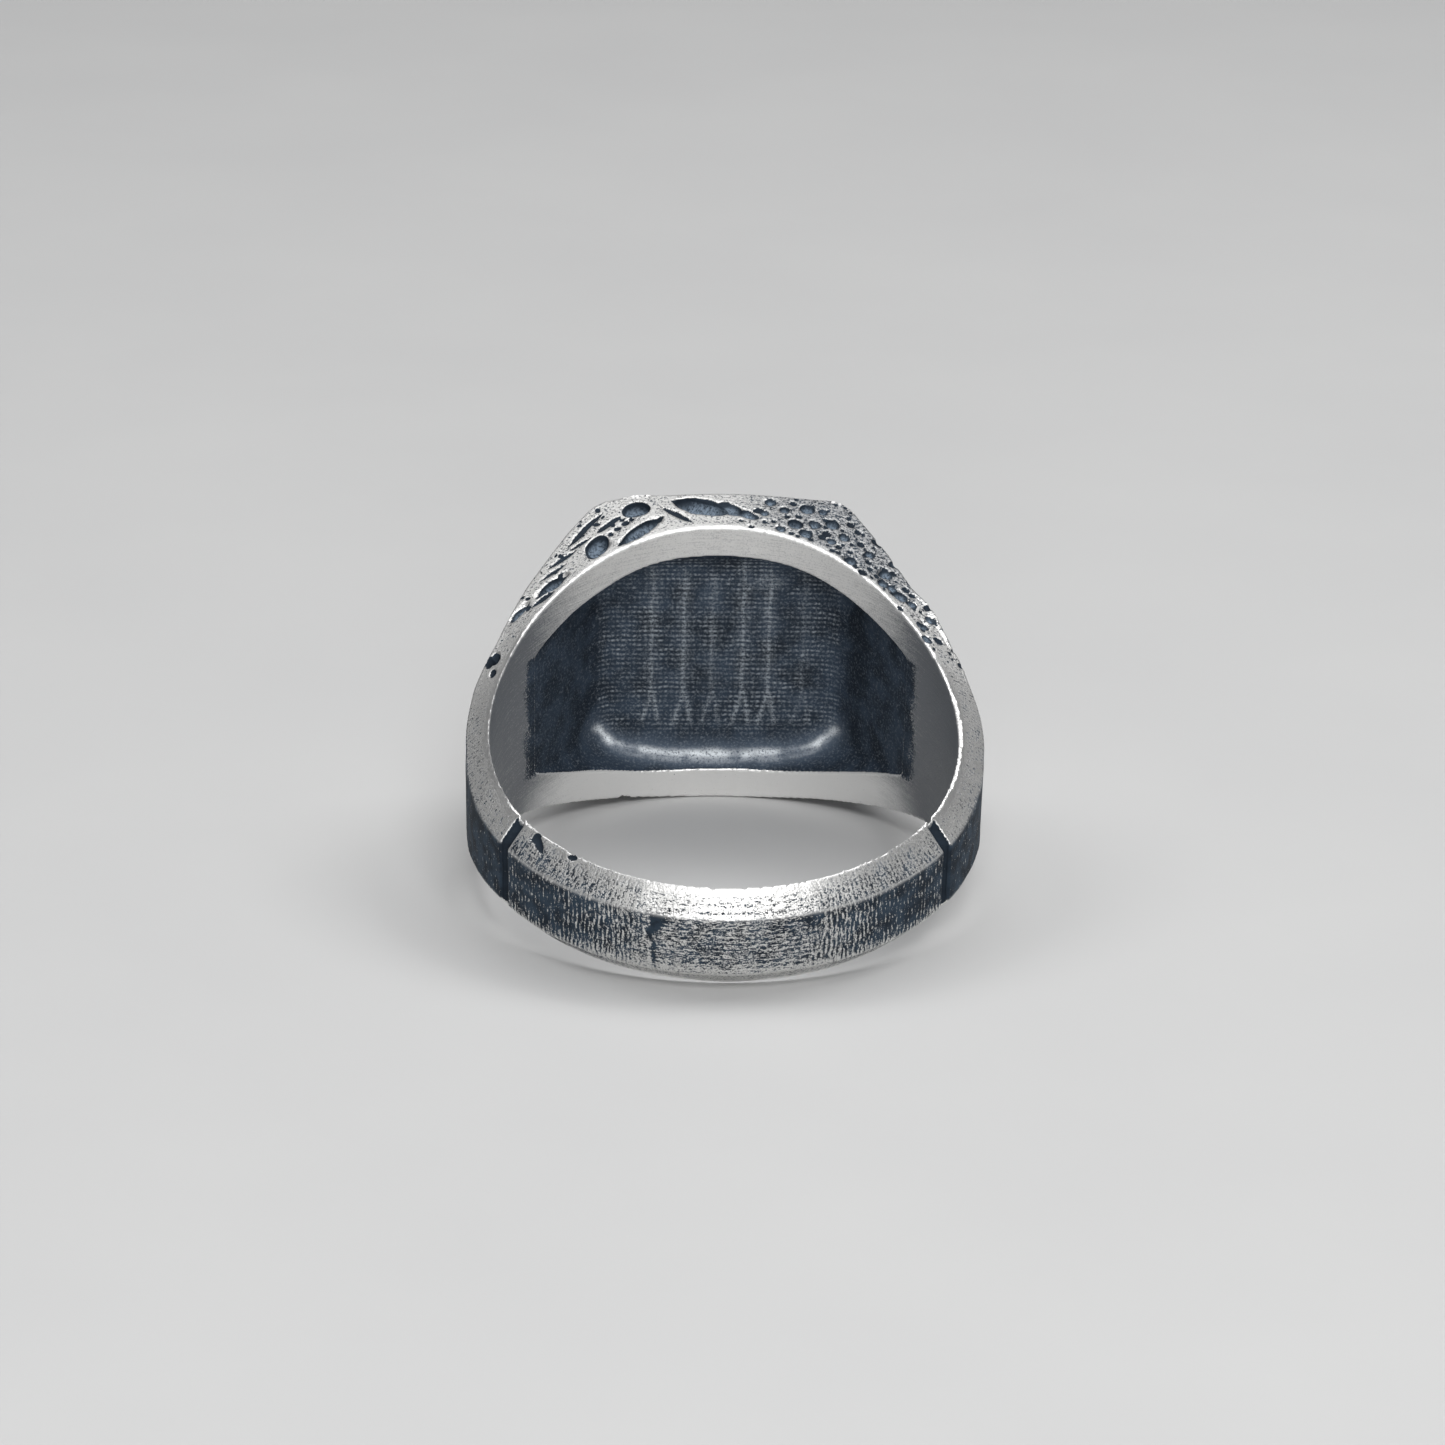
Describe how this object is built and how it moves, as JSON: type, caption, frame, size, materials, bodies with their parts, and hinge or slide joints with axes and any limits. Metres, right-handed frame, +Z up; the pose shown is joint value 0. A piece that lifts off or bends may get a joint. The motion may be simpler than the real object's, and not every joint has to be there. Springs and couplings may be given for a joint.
{
  "type": "signet ring",
  "caption": "Heavy signet ring with a wide flared head, a flat face, a hollow under the face and a narrow bevelled shank, stored lying on its side.",
  "frame": {"origin": "on the ground plane, under the middle of the ring as it lies on its side", "axes": "+Y from the shank towards the head, +Z up from the surface it lies on, +X to the right when looking from the shank to the head; the finger hole's axis leans 13.49 degrees from +Z towards -Y"},
  "size_m": [0.022, 0.0248, 0.0147],
  "materials": {
    "head": "oxidised silver, satin, blue-black in the hollows",
    "shank": "oxidised silver, brushed",
    "solder": "silver solder, satin",
    "joint_dark": "silver solder, oxidised dark"
  },
  "bodies": {
    "root": {"face_plate": "head", "plate_solder": "solder", "head_frame": "head", "left_shoulder": "shank", "right_shoulder": "shank", "left_shoulder_solder": "solder", "right_shoulder_solder": "solder", "left_shank_solder": "joint_dark", "right_shank_solder": "joint_dark", "shank_back": "shank"}
  },
  "joints": []
}
